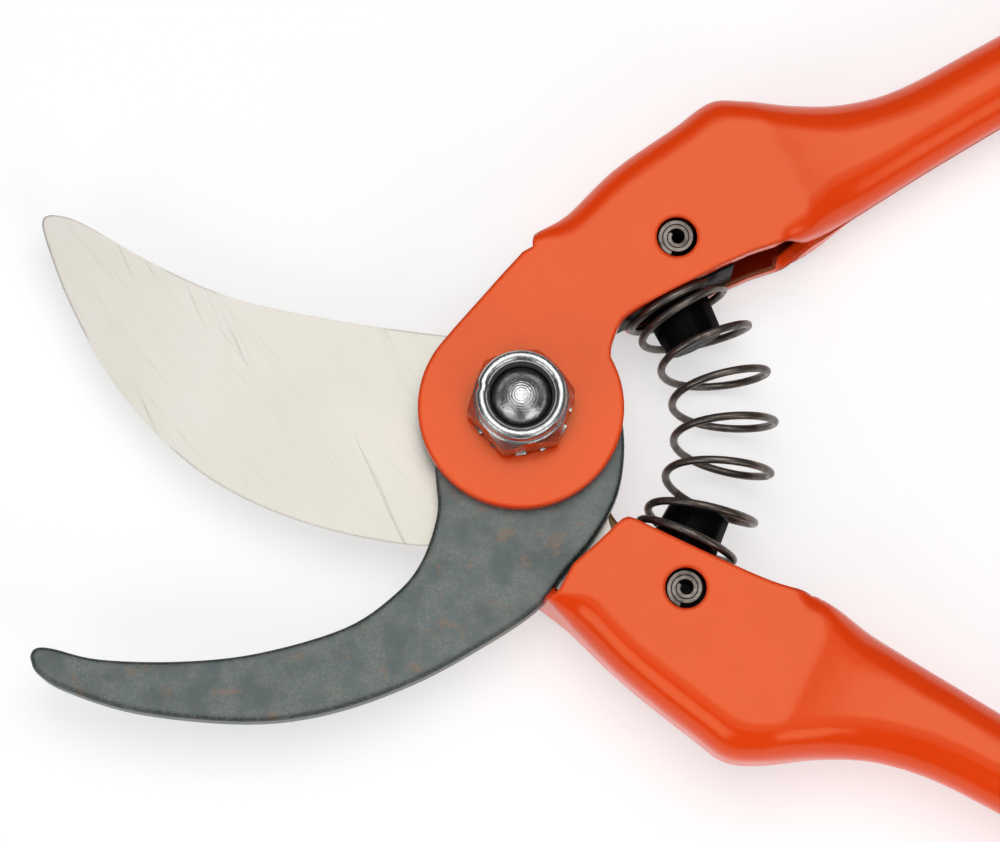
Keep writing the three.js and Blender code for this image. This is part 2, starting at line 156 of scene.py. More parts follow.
def ring(bm, points):
    # closed loop of edges through points
    verts = bmesh.ops.create_circle(bm, cap_ends=False, radius=1, segments=len(points))["verts"]
    for vert, point in zip(verts, points):
        vert.co = point
    return verts, edgesOf(verts)


def sleeve(bm, outlines):
    # skin through closed outlines with equal numbers of points; returns each one's verts and edges
    rings = [ring(bm, outlines[0])]
    for points in outlines[1:]:
        verts, edges = rings[-1]
        made = bmesh.ops.extrude_edge_only(bm, edges=edges)["geom"]
        fresh = {item for item in made if isinstance(item, bmesh.types.BMVert)}
        grown = []
        for vert, point in zip(verts, points):
            following = next(edge.other_vert(vert) for edge in vert.link_edges
                             if edge.other_vert(vert) in fresh)
            following.co = point
            grown.append(following)
        rings.append((grown, [item for item in made if isinstance(item, bmesh.types.BMEdge)
                              and item.verts[0] in fresh and item.verts[1] in fresh]))
    return rings


def fill(bm, *loops):
    edges = [edge for _, loop in loops for edge in loop]
    bmesh.ops.triangle_fill(bm, use_beauty=True, use_dissolve=False, edges=edges, normal=(0, 0, 1))


def inward(points, amount):
    # closed outline moved inwards; amount is a number, or a function of x and y
    area = sum(a[0] * b[1] - b[0] * a[1] for a, b in zip(points, points[1:] + points[:1]))
    side = 1 if area > 0 else -1
    moved = []
    for i, point in enumerate(points):
        before, after = Vector(points[i - 1]), Vector(points[(i + 1) % len(points)])
        along = (after - before).normalized()
        depth = amount(*point) if callable(amount) else amount
        moved.append((point[0] - along.y * side * depth, point[1] + along.x * side * depth))
    return moved


def spaced(points, gap):
    # outline without points that nearly coincide
    kept = []
    for point in points:
        if not kept or math.dist(point, kept[-1]) > gap:
            kept.append(point)
    if math.dist(kept[0], kept[-1]) < gap:
        kept.pop()
    return kept


def atHeight(points, z):
    return [(x, y, z) for x, y in points]


def turned(bm, profile, steps=64):
    # spins a profile of (radius, z) points about the z axis
    verts = [bmesh.ops.create_vert(bm, co=(radius, 0, z))["vert"][0] for radius, z in profile]
    edges = [bm.edges.new(pair) for pair in zip(verts, verts[1:])]
    bmesh.ops.spin(bm, geom=verts + edges, cent=(0, 0, 0), axis=(0, 0, 1), angle=2 * math.pi,
                   steps=steps, use_merge=True, use_normal_flip=False, use_duplicate=False)
    bmesh.ops.remove_doubles(bm, verts=bm.verts, dist=1e-4)
    bmesh.ops.recalc_face_normals(bm, faces=bm.faces)


def softenEdges(bm, verts, width, segments):
    bmesh.ops.bevel(bm, geom=edgesOf(verts), offset=width, segments=segments, profile=0.5,
                    affect="EDGES", material=-1, clamp_overlap=True)


def roundedBlock(bm, low, high, radius):
    size = [b - a for a, b in zip(low, high)]
    middle = [(a + b) / 2 for a, b in zip(low, high)]
    place = Matrix.Translation(middle) @ Matrix.Diagonal((*size, 1))
    verts = bmesh.ops.create_cube(bm, size=1, matrix=place)["verts"]
    softenEdges(bm, verts, radius, 3)


def wire(bm, path, radius, sides):
    # round wire along a path, one ring of points at each step
    across = Vector((1, 0.2, 0))
    outlines = []
    for k, point in enumerate(path):
        ahead = (path[min(k + 1, len(path) - 1)] - path[max(k - 1, 0)]).normalized()
        across = (across - ahead * across.dot(ahead)).normalized()
        up = ahead.cross(across)
        angles = [2 * math.pi * i / sides for i in range(sides)]
        outlines.append([
            point + (across * math.cos(a) + up * math.sin(a)) * radius for a in angles
        ])
    rings = sleeve(bm, outlines)
    for _, edges in (rings[0], rings[-1]):
        bmesh.ops.edgeloop_fill(bm, edges=edges)
    bmesh.ops.recalc_face_normals(bm, faces=bm.faces)


def finished(bm, name, place, material, sharpAngle=None):
    bmesh.ops.transform(bm, matrix=place, verts=bm.verts)
    mesh = bpy.data.meshes.new(name)
    bm.to_mesh(mesh)
    bm.free()
    mesh.shade_smooth()
    if sharpAngle:
        mesh.set_sharp_from_angle(angle=math.radians(sharpAngle))
    mesh.materials.append(material)
    piece = bpy.data.objects.new(name, mesh)
    bpy.context.collection.objects.link(piece)
    return piece


def addBevel(piece, width, segments, angle):
    bevel = piece.modifiers.new("roundedEdges", "BEVEL")
    bevel.width = width * 0.001
    bevel.segments = segments
    bevel.limit_method = "ANGLE"
    bevel.angle_limit = math.radians(angle)
    weighted = piece.modifiers.new("evenShading", "WEIGHTED_NORMAL")
    weighted.keep_sharp = True


def newNode(tree, kind, values=None, **settings):
    made = tree.nodes.new("ShaderNode" + kind)
    for name, value in settings.items():
        setattr(made, name, value)
    for name, value in (values or {}).items():
        made.inputs[name].default_value = value
    return made


def newGroup(name, inputs, outputs):
    tree = bpy.data.node_groups.new(name, "ShaderNodeTree")
    for label, kind, value in inputs:
        socket = tree.interface.new_socket(name=label, in_out="INPUT", socket_type=kind)
        if value is not None:
            socket.default_value = value
    for label, kind in outputs:
        tree.interface.new_socket(name=label, in_out="OUTPUT", socket_type=kind)
    return tree, tree.nodes.new("NodeGroupInput"), tree.nodes.new("NodeGroupOutput")


def useGroup(tree, group, values):
    made = tree.nodes.new("ShaderNodeGroup")
    made.node_tree = group
    for name, value in values.items():
        made.inputs[name].default_value = value
    return made


def limited(tree, given, value):
    # 0 below the group's Low and 1 above its High
    limits = newNode(tree, "MapRange", interpolation_type="SMOOTHSTEP")
    tree.links.new(value, limits.inputs["Value"])
    tree.links.new(given.outputs["Low"], limits.inputs["From Min"])
    tree.links.new(given.outputs["High"], limits.inputs["From Max"])
    return limits.outputs["Result"]


def makeSpeckle():
    # patchy noise: a mask between 0 and 1 and a height for bump
    tree, given, result = newGroup(
        "speckle",
        [("Vector", "NodeSocketVector", None), ("Scale", "NodeSocketFloat", 300.0),
         ("Low", "NodeSocketFloat", 0.45), ("High", "NodeSocketFloat", 0.6)],
        [("Mask", "NodeSocketFloat"), ("Height", "NodeSocketFloat")],
    )
    noise = newNode(tree, "TexNoise", {"Detail": 6.0, "Roughness": 0.62})
    tree.links.new(given.outputs["Vector"], noise.inputs["Vector"])
    tree.links.new(given.outputs["Scale"], noise.inputs["Scale"])
    tree.links.new(limited(tree, given, noise.outputs["Fac"]), result.inputs["Mask"])
    tree.links.new(noise.outputs["Fac"], result.inputs["Height"])
    return tree


def makeScratches():
    # fine parallel scratches along a direction in the plane of the blades
    tree, given, result = newGroup(
        "scratches",
        [("Vector", "NodeSocketVector", None), ("Angle", "NodeSocketFloat", 0.6),
         ("Fineness", "NodeSocketFloat", 900.0), ("Low", "NodeSocketFloat", 0.5),
         ("High", "NodeSocketFloat", 0.7)],
        [("Mask", "NodeSocketFloat"), ("Height", "NodeSocketFloat")],
    )
    turn = newNode(tree, "VectorRotate", rotation_type="Z_AXIS")
    stretch = newNode(tree, "Mapping", {"Scale": (0.03, 1.0, 0.4)}, vector_type="POINT")
    noise = newNode(tree, "TexNoise", {"Detail": 4.0, "Roughness": 0.7})
    tree.links.new(given.outputs["Vector"], turn.inputs["Vector"])
    tree.links.new(given.outputs["Angle"], turn.inputs["Angle"])
    tree.links.new(turn.outputs["Vector"], stretch.inputs["Vector"])
    tree.links.new(stretch.outputs["Vector"], noise.inputs["Vector"])
    tree.links.new(given.outputs["Fineness"], noise.inputs["Scale"])
    tree.links.new(limited(tree, given, noise.outputs["Fac"]), result.inputs["Mask"])
    tree.links.new(noise.outputs["Fac"], result.inputs["Height"])
    return tree


def makeEdgeWearAndShade():
    # mask that is 1 along edges, broken up by noise; radius is how far from the edge it reaches; it
    # gives worn edges, and painted shade on the counter-blade's chamfers
    tree, given, result = newGroup(
        "edgeWearAndShade",
        [("Vector", "NodeSocketVector", None), ("Radius", "NodeSocketFloat", 0.0006),
         ("Low", "NodeSocketFloat", 0.02), ("High", "NodeSocketFloat", 0.25),
         ("Breakup", "NodeSocketFloat", 0.5)],
        [("Mask", "NodeSocketFloat")],
    )
    shape = tree.nodes.new("ShaderNodeNewGeometry")
    rounded = newNode(tree, "Bevel", samples=4)
    facing = newNode(tree, "VectorMath", operation="DOT_PRODUCT")
    bent = newNode(tree, "Math", {0: 1.0}, operation="SUBTRACT")
    noise = newNode(tree, "TexNoise", {"Scale": 700.0, "Detail": 5.0})
    patches = newNode(tree, "MapRange", {"From Min": 0.35, "From Max": 0.65})
    broken = newNode(tree, "Mix", data_type="FLOAT")
    broken.inputs["A"].default_value = 1.0
    product = newNode(tree, "Math", operation="MULTIPLY")
    tree.links.new(given.outputs["Vector"], noise.inputs["Vector"])
    tree.links.new(given.outputs["Radius"], rounded.inputs["Radius"])
    tree.links.new(rounded.outputs["Normal"], facing.inputs[0])
    tree.links.new(shape.outputs["Normal"], facing.inputs[1])
    tree.links.new(facing.outputs["Value"], bent.inputs[1])
    tree.links.new(noise.outputs["Fac"], patches.inputs["Value"])
    tree.links.new(given.outputs["Breakup"], broken.inputs["Factor"])
    tree.links.new(patches.outputs["Result"], broken.inputs["B"])
    tree.links.new(limited(tree, given, bent.outputs["Value"]), product.inputs[0])
    tree.links.new(broken.outputs["Result"], product.inputs[1])
    tree.links.new(product.outputs["Value"], result.inputs["Mask"])
    return tree


def makeCavity():
    # ambient occlusion mask for painted shade: 1 in the open, 0 deep in corners and slots
    tree, given, result = newGroup(
        "cavity",
        [("Distance", "NodeSocketFloat", 0.01), ("Low", "NodeSocketFloat", 0.25),
         ("High", "NodeSocketFloat", 0.85)],
        [("Mask", "NodeSocketFloat")],
    )
    shade = newNode(tree, "AmbientOcclusion", samples=6)
    tree.links.new(given.outputs["Distance"], shade.inputs["Distance"])
    tree.links.new(limited(tree, given, shade.outputs["AO"]), result.inputs["Mask"])
    return tree


speckle = makeSpeckle()
cavity = makeCavity()
scratches = makeScratches()
edgeWearAndShade = makeEdgeWearAndShade()


def newMaterial(name, base, roughness, metallic, **plain):
    material = bpy.data.materials.new(name)
    material.use_nodes = True
    tree = material.node_tree
    shader = tree.nodes["Principled BSDF"]
    shader.inputs["Base Color"].default_value = (*base, 1)
    shader.inputs["Roughness"].default_value = roughness
    shader.inputs["Metallic"].default_value = metallic
    for label, value in plain.items():
        shader.inputs[label.replace("_", " ")].default_value = value
    place = tree.nodes.new("ShaderNodeTexCoord").outputs["Object"]
    return material, tree, shader, place


def placed(tree, group, place, **values):
    made = useGroup(tree, group, values)
    tree.links.new(place, made.inputs["Vector"])
    return made


def colourMix(tree, factor, first, second):
    made = newNode(tree, "Mix", data_type="RGBA")
    for index, colour in ((6, first), (7, second)):
        if isinstance(colour, tuple):
            made.inputs[index].default_value = (*colour, 1)
        else:
            tree.links.new(colour, made.inputs[index])
    tree.links.new(factor, made.inputs[0])
    return made.outputs[2]


def addBump(tree, shader, height, strength, distance, under=None):
    bump = newNode(tree, "Bump", {"Strength": strength, "Distance": distance})
    tree.links.new(height, bump.inputs["Height"])
    if under:
        tree.links.new(under, bump.inputs["Normal"])
    tree.links.new(bump.outputs["Normal"], shader.inputs["Normal"])
    return bump.outputs["Normal"]


def spread(tree, factor, low, high):
    made = newNode(tree, "MapRange", {"To Min": low, "To Max": high})
    tree.links.new(factor, made.inputs["Value"])
    return made.outputs["Result"]


enamelLook = {
    "colour": (0.95, 0.060, 0.003),
    "shade": (0.86, 0.048, 0.002),
    "thin": (0.66, 0.026, 0.001),
    "speck": (0.16, 0.02, 0.006),
    # painted shade: dark colour for corners, slots and around the pins and nut
    "paintedCavityShade": (0.12, 0.006, 0.002),
    "roughness": (0.14, 0.22),
    "sheen": (1.0, 0.86, 0.45, 1.0),
    "softEdge": 0.0009,
}
# painted shade: a much darker enamel for the inner faces of the sheet, for the shadow inside the channel
insideShadeLook = {**enamelLook, "colour": (0.22, 0.010, 0.002), "shade": (0.14, 0.007, 0.001)}


def makeEnamel(name, look):
    material, tree, shader, place = newMaterial(
        name, look["colour"], roughness=0.2, metallic=0.0, Specular_Tint=look["sheen"])
    cloud = placed(tree, speckle, place, Scale=45.0, Low=0.35, High=0.7)
    wear = placed(tree, edgeWearAndShade, place, Radius=0.0007, Low=0.01, High=0.25, Breakup=0.3)
    dots = placed(tree, speckle, place, Scale=900.0, Low=0.735, High=0.76)
    peel = placed(tree, speckle, place, Scale=420.0, Low=0.3, High=0.7)
    clouds = spread(tree, cloud.outputs["Mask"], low=0.0, high=0.35)
    colour = colourMix(tree, clouds, look["colour"], look["shade"])
    colour = colourMix(tree, wear.outputs["Mask"], colour, look["thin"])
    colour = colourMix(tree, dots.outputs["Mask"], colour, look["speck"])
    # painted shade: the enamel turns dark where the occlusion mask finds corners and slots
    deep = useGroup(tree, cavity, {"Distance": 0.008, "Low": 0.15, "High": 0.65})
    colour = colourMix(tree, deep.outputs["Mask"], look["paintedCavityShade"], colour)
    tree.links.new(colour, shader.inputs["Base Color"])
    tree.links.new(spread(tree, peel.outputs["Mask"], *look["roughness"]),
                   shader.inputs["Roughness"])
    softEdge = newNode(tree, "Bevel", {"Radius": look["softEdge"]}, samples=6)
    addBump(tree, shader, peel.outputs["Height"], strength=0.12, distance=0.0002,
            under=softEdge.outputs["Normal"])
    return material


cuttingLook = {
    "colour": (0.47, 0.445, 0.405),
    "scratch": (0.33, 0.32, 0.285),
    "stain": (0.40, 0.385, 0.31),
    "roughness": (0.36, 0.5),
    "angle": 0.9,
    "crossing": 0.25,  # turn of the coarse scratches from the fine ones
}


def makeCuttingSteel():
    look = cuttingLook
    material, tree, shader, place = newMaterial(
        "cuttingSteel", look["colour"], roughness=0.4, metallic=0.8)
    fine = placed(tree, scratches, place, Angle=look["angle"], Fineness=2200.0, Low=0.52, High=0.8)
    coarse = placed(tree, scratches, place, Angle=look["angle"] + look["crossing"],
                    Fineness=500.0, Low=0.6, High=0.75)
    cloud = placed(tree, speckle, place, Scale=42.0, Low=0.4, High=0.68)
    ground = spread(tree, fine.outputs["Mask"], low=0.0, high=0.5)
    clouds = spread(tree, cloud.outputs["Mask"], low=0.0, high=0.35)
    colour = colourMix(tree, ground, look["colour"], look["scratch"])
    colour = colourMix(tree, clouds, colour, look["stain"])
    tree.links.new(colour, shader.inputs["Base Color"])
    tree.links.new(spread(tree, coarse.outputs["Mask"], *look["roughness"]),
                   shader.inputs["Roughness"])
    under = addBump(tree, shader, fine.outputs["Height"], strength=0.12, distance=0.0001)
    addBump(tree, shader, coarse.outputs["Mask"], strength=0.1, distance=0.0001, under=under)
    return material


counterLook = {
    "colour": (0.088, 0.108, 0.106),
    "light": (0.25, 0.26, 0.22),
    "cool": (0.052, 0.070, 0.072),
    "paintedEdgeShade": (0.010, 0.012, 0.014),
    # painted shade for the chamfered edges
    "stain": (0.20, 0.125, 0.085),
    "roughness": (0.36, 0.55),
}


def makeCounterSteel():
    look = counterLook
    material, tree, shader, place = newMaterial(
        "counterSteel", look["colour"], roughness=0.45, metallic=0.45)
    grains = placed(tree, speckle, place, Scale=2600.0, Low=0.42, High=0.66)
    cloud = placed(tree, speckle, place, Scale=230.0, Low=0.38, High=0.66)
    stains = placed(tree, speckle, place, Scale=330.0, Low=0.55, High=0.68)
    edges = placed(tree, edgeWearAndShade, place, Radius=0.0013, Low=0.004, High=0.12, Breakup=0.2)
    colour = look["colour"]
    for mask, most, name in ((grains, 0.7, "light"), (cloud, 0.6, "cool"), (stains, 0.6, "stain")):
        share = spread(tree, mask.outputs["Mask"], low=0.0, high=most)
        colour = colourMix(tree, share, colour, look[name])
    # painted shade: the edges are darkened nearly to black, standing in for shadow on the chamfers
    colour = colourMix(tree, edges.outputs["Mask"], colour, look["paintedEdgeShade"])
    tree.links.new(colour, shader.inputs["Base Color"])
    tree.links.new(spread(tree, grains.outputs["Mask"], *look["roughness"]),
                   shader.inputs["Roughness"])
    addBump(tree, shader, grains.outputs["Height"], strength=0.25, distance=0.0001)
    return material


zincLook = {
    "colour": (0.50, 0.505, 0.495),
    "shade": (0.30, 0.305, 0.30),
    "mark": (0.35, 0.34, 0.32),
    "roughness": (0.18, 0.34),
}


def makeZinc():
    look = zincLook
    material, tree, shader, place = newMaterial(
        "brightZinc", look["colour"], roughness=0.14, metallic=1.0)
    cloud = placed(tree, speckle, place, Scale=420.0, Low=0.42, High=0.7)
    dents = placed(tree, speckle, place, Scale=620.0, Low=0.3, High=0.7)
    marks = placed(tree, scratches, place, Angle=0.3, Fineness=2600.0, Low=0.55, High=0.75)
    clouds = spread(tree, cloud.outputs["Mask"], low=0.0, high=0.5)
    scuffs = spread(tree, marks.outputs["Mask"], low=0.0, high=0.4)
    colour = colourMix(tree, clouds, look["colour"], look["shade"])
    colour = colourMix(tree, scuffs, colour, look["mark"])
    tree.links.new(colour, shader.inputs["Base Color"])
    tree.links.new(spread(tree, cloud.outputs["Mask"], *look["roughness"]),
                   shader.inputs["Roughness"])
    addBump(tree, shader, dents.outputs["Height"], strength=0.4, distance=0.0003)
    return material


springLook = {
    "colour": (0.15, 0.127, 0.11),
    "shade": (0.055, 0.044, 0.038),
    "drawn": (0.27, 0.245, 0.22),
    "roughness": (0.28, 0.45),
}


def makeSpringSteel():
    look = springLook
    material, tree, shader, place = newMaterial(
        "springSteel", look["colour"], roughness=0.34, metallic=0.85)
    cloud = placed(tree, speckle, place, Scale=500.0, Low=0.4, High=0.7)
    drawn = placed(tree, scratches, place, Angle=0.0, Fineness=3000.0, Low=0.5, High=0.75)
    clouds = spread(tree, cloud.outputs["Mask"], low=0.0, high=0.8)
    lines = spread(tree, drawn.outputs["Mask"], low=0.0, high=0.4)
    colour = colourMix(tree, clouds, look["colour"], look["shade"])
    colour = colourMix(tree, lines, colour, look["drawn"])
    tree.links.new(colour, shader.inputs["Base Color"])
    tree.links.new(spread(tree, cloud.outputs["Mask"], *look["roughness"]),
                   shader.inputs["Roughness"])
    addBump(tree, shader, drawn.outputs["Height"], strength=0.15, distance=0.0001)
    return material


blackLook = {
    "colour": (0.0025, 0.0025, 0.0025),
    "worn": (0.012, 0.013, 0.015),
    "roughness": (0.3, 0.42),
}
nylonLook = {
    "colour": (0.055, 0.06, 0.055),
    "worn": (0.12, 0.12, 0.11),
    "roughness": (0.35, 0.5),
}


def makePlastic(name, look):
    material, tree, shader, place = newMaterial(
        name, look["colour"], look["roughness"][0], metallic=0.0, Specular_IOR_Level=0.025)
    grain = placed(tree, speckle, place, Scale=1800.0, Low=0.35, High=0.7)
    wear = placed(tree, edgeWearAndShade, place, Radius=0.0005, Low=0.02, High=0.3, Breakup=0.7)
    tint = colourMix(tree, wear.outputs["Mask"], look["colour"], look["worn"])
    tree.links.new(tint, shader.inputs["Base Color"])
    tree.links.new(spread(tree, grain.outputs["Mask"], *look["roughness"]),
                   shader.inputs["Roughness"])
    addBump(tree, shader, grain.outputs["Height"], strength=0.12, distance=0.0001)
    return material


enamel = makeEnamel("handleEnamel", enamelLook)
enamelShadedInside = makeEnamel("handleEnamelShadedInside", insideShadeLook)
cuttingSteel = makeCuttingSteel()
counterSteel = makeCounterSteel()
zinc = makeZinc()
springSteel = makeSpringSteel()
blackPlastic = makePlastic("blackPlastic", blackLook)
nylon = makePlastic("lockingNylon", nylonLook)
print("materials made")


def plateWith(bm, low, lowInset, high, highInset, outline, holes, band=0.35):
    # solid plate between two heights, with a narrow band of faces along each edge
    outline = spaced(outline, band * 0.6)
    lowEdge, highEdge = inward(outline, lowInset), inward(outline, highInset)
    rings = sleeve(bm, [
        atHeight(inward(lowEdge, band), low),
        atHeight(lowEdge, low),
        atHeight(highEdge, high),
        atHeight(inward(highEdge, band), high),
    ])
    lowLoops, highLoops = [rings[0]], [rings[3]]
    steps = 48
    for x, y, radius in holes:
        narrow, wide = circle(x, y, radius, steps), circle(x, y, radius + band, steps)
        walls = sleeve(bm, [
            atHeight(wide, low), atHeight(narrow, low), atHeight(narrow, high), atHeight(wide, high),
        ])
        lowLoops.append(walls[0])
        highLoops.append(walls[3])
    fill(bm, *lowLoops)
    fill(bm, *highLoops)
    bmesh.ops.recalc_face_normals(bm, faces=bm.faces)


cuttingBlade = {
    "grind": 4.0,
    "grindRise": (3.3, 12.0),  # distances below the pivot where the grind begins and is full
    "grindEnd": -2.0,
    "grindClear": 20.0,  # nothing is ground nearer to the pivot
    "edgeRound": 0.14,
    "hubSweep": (-4, 151),
    "edge": [(-70.3, -4.1), (-68, -6.7), (-61.6, -12.6), (-52, -19.4), (-40.2, -24.5), (-30, -26.3),
             (-19, -25.7), (-8.7, -23.4), (-2, -21)],
    "root": [(-2, -21), (6, -19.4), (14, -19.6)],
    "tang": [(14, -19.6), (24, -21.4), (33, -21.2), (37, -18.5), (37.5, -14), (34, -10.6)],
    "neck": [(17.6, -8.8), (15, -5.4), (13.2, -1)],
    "back": [(-18.3, 4.1), (-29.6, 0.7), (-42, -2.1), (-53.4, -2.5), (-65.1, -1.6), (-68.8, -2.0),
             (-70.4, -2.9), (-70.3, -4.1)],
    "pin": (30.4, -13.3, 2.8),  # x, y and radius of the hole
}


def makeCuttingBlade():
    spec = cuttingBlade
    rise = spec["grindRise"]
    hub = arc(tool["hubRadius"], *spec["hubSweep"], 40)
    outline = (through(spec["edge"], 8) + through(spec["root"], 6) + through(spec["tang"], 6)
               + [spec["neck"][0]] + through(spec["neck"], 6) + hub
               + through([hub[-1]] + spec["back"], 8))

    def groundAway(x, y):
        onEdge = x < spec["grindEnd"] and y < -rise[0] and math.hypot(x, y) > spec["grindClear"]
        return spec["grind"] * ease(-y, *rise) if onEdge else 0.0

    bm = bmesh.new()
    holes = [(0, 0, tool["boltHole"]), spec["pin"]]
    plateWith(bm, tool["cuttingBack"], groundAway, -tool["cutPlane"], 0.0, outline, holes)
    piece = finished(bm, "cuttingBladePlate", onLower, cuttingSteel)
    addBevel(piece, spec["edgeRound"], 2, 30)
    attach(piece, "lower_lever")
    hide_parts("cutting_blade")


counterBlade = {
    "chamfer": 0.5,
    "band": 0.65,
    "hubSweep": (99, 182),
    "outside": [(-73.4, -2.9), (-73.3, -4.4), (-71, -8), (-63.4, -15), (-51, -22.4), (-40.5, -25.9),
                (-29, -27.1), (-18.8, -26.6), (-9.9, -25.3), (-4.5, -22.6), (1.6, -19.7),
                (6.8, -15.8), (10.4, -10.4), (12.6, -4), (13.3, 0.5), (14.1, 4.6), (16.4, 7)],
    "tang": [(31, 7.4), (34.5, 10.5), (33.5, 16), (28.5, 18.6), (20, 18.2), (8, 16), (-2, 13.05)],
    "inside": [(-14.4, -3.8), (-16.3, -8.1), (-20.9, -12.9), (-26.1, -15.4), (-34, -16.6),
               (-45.8, -14.7), (-55.7, -11.2), (-65.1, -6.4), (-70.1, -2.4), (-72, -1.4),
               (-73.1, -1.9), (-73.4, -2.9)],
    "pin": (29.1, 12.1, 2.8),
}


def makeCounterBlade():
    spec = counterBlade
    hub = arc(tool["hubRadius"], *spec["hubSweep"], 24)
    outline = (through(spec["outside"], 6) + through([spec["outside"][-1], spec["tang"][0]], 3)
               + through(spec["tang"], 6) + hub + through([hub[-1]] + spec["inside"], 6))
    bm = bmesh.new()
    holes = [(0, 0, tool["boltHole"]), spec["pin"]]
    plateWith(bm, tool["cutPlane"], 0.0, tool["counterTop"], 0.0, outline, holes, spec["band"])
    piece = finished(bm, "counterBladePlate", onUpper, counterSteel)
    addBevel(piece, spec["chamfer"], 3, 40)
    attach(piece, "upper_lever")
    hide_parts("counter_blade")


makeCuttingBlade()
makeCounterBlade()
print("blades made")


upperShell = {
    "top": tool["upperTop"],
    "outer": [(11, 20.9), (16, 21.8), (26, 25), (36, 26.8), (42, 27.9), (46, 26.2), (52, 23),
              (59, 20.2), (66, 19), (78, 19.6), (101, 21), (124, 19.8), (150, 15.8)],
    "inner": [(11, 5.7), (26, 5.8), (36, 6), (46, 4.9), (53, 5.5), (66, 7.1), (84, 8.8),
              (101, 9.6), (124, 8.2), (150, 5.2)],
    "bend": 4.2,
    "backDrop": 0.8,
    "mouthEnd": 45.5,
    "pin": (29.1, 12.1),
    "pinTurn": (-1, -2.35),  # way round, and angle of the coil's outer end
    "squareHole": False,
}
lowerShell = {
    "top": tool["lowerTop"],
    "outer": [(12, 22.3), (17, 23.8), (29, 27.5), (40, 30.1), (44.5, 30.9), (48.5, 29.6),
              (56, 25.3), (62.5, 22.6), (70, 21.4), (79, 21.6), (101, 22.9), (124, 21.7), (150, 17.6)],
    "inner": [(12, 7.7), (30, 7.8), (40, 7.6), (48, 6.6), (56, 7.6), (66, 8.7), (82, 10.3),
              (101, 11), (124, 9.8), (150, 6.8)],
    "bend": 5.0,
    "backDrop": 0.0,
    "mouthEnd": 48.0,
    "pin": (30.4, 13.3),
    "pinTurn": (1, 1.46),
    "squareHole": True,
}
shellCommon = {
    "neckFall": 1.3,  # how far the face sinks between the flat cheek and the tube
    "neckLength": 16.0,
    "crease": 1.5,  # from the mouth's end to where the neck begins to fall
    "tube": 5.6,
    "tubeStart": 64.0,
    "levelling": (95.0, 135.0),  # where the tube comes level with the sliding plane
    "endTaper": 2.6,
    "endLength": 7.0,
    "endRound": (5.0, 6.2),  # where the rounding starts before the end, and its radius
    "plateEnd": 37.0,
    "startBend": 0.7,
    "bendGrowth": (-2, 7),  # from the start of the channel
    "bendToTube": (-3, 14),  # this and the next two are from the mouth's end
    "roll": (-6, 8),
    "curl": (-4.5, 1),
    "cheekCorner": 0.8,
    "roundest": 0.94,  # largest corner, as a share of the half width or depth
    "seamGap": 0.35,
    "slant": 3.4,  # the back cheek starts this much further along
    "slantLength": 16.0,
    "stationSteps": (14, 38, 30, 7),
    "cheekSteps": 22,
    "bendSteps": 8,
    "webSteps": 5,
    "support": 0.5,  # first row of points past the bend
    "margin": 1.3,  # last row of points before the edge
    "rimBand": 0.42,
    "rim": 0.38,
    "pinHole": 2.75,
    "squareHalf": 4.35,
    "holeSteps": 40,
}
handleDisc = {
    "radius": 13.8,
    "sweep": (0, -244),
    "edge": (33, 29),
    "throat": [(24, 0.0), (20.8, -0.1), (17.6, -0.7), (14.9, -3.0)],  # y from the inner edge
    "step": [(-3.5, 13.6), (-0.5, 14.9), (2.5, 16.2), (5, 17.3)],
    "shoulder": [(7.4, -2.6), (9.4, -1.75)],  # y from the outer edge
}
backCheek = {
    "rise": [(15.6, 0.62), (17.2, 0.36)],  # x, and share of the way up to the shoulder
    "riseAt": 16,
    # x, where the edge is read, and lift above it
    "corner": [(18.5, 18, 1.7), (18.9, 18, 0.75), (19.5, 19, 0.15), (20.4, 20, 0.0)],
    "edge": (24, 28, 32.5),
}


def cheekPath(fromY, toY, corner, faceZ, seamZ, curl):
    # from the bend down the cheek, round the inner corner and on to the seam
    down = -1 if seamZ < faceZ else 1
    turn = corner * math.pi / 2
    curled = curl * (turn + abs(faceZ - seamZ) - corner)
    start = toY + corner * math.sin(min(curled, turn) / corner)
    straight = fromY - start
    total = straight + curled
    steps, low, high = shellCommon["cheekSteps"], shellCommon["support"], total - shellCommon["margin"]
    places = [0] + [mix(low, high, k / (steps - 3)) for k in range(steps - 2)] + [total]
    points = []
    for s in places:
        if s <= straight:
            points.append((fromY - s, faceZ))
        elif s <= straight + turn:
            a = (s - straight) / corner
            points.append((start - corner * math.sin(a), faceZ + down * corner * (1 - math.cos(a))))
        else:
            points.append((start - corner, faceZ + down * (corner + s - straight - turn)))
    return points


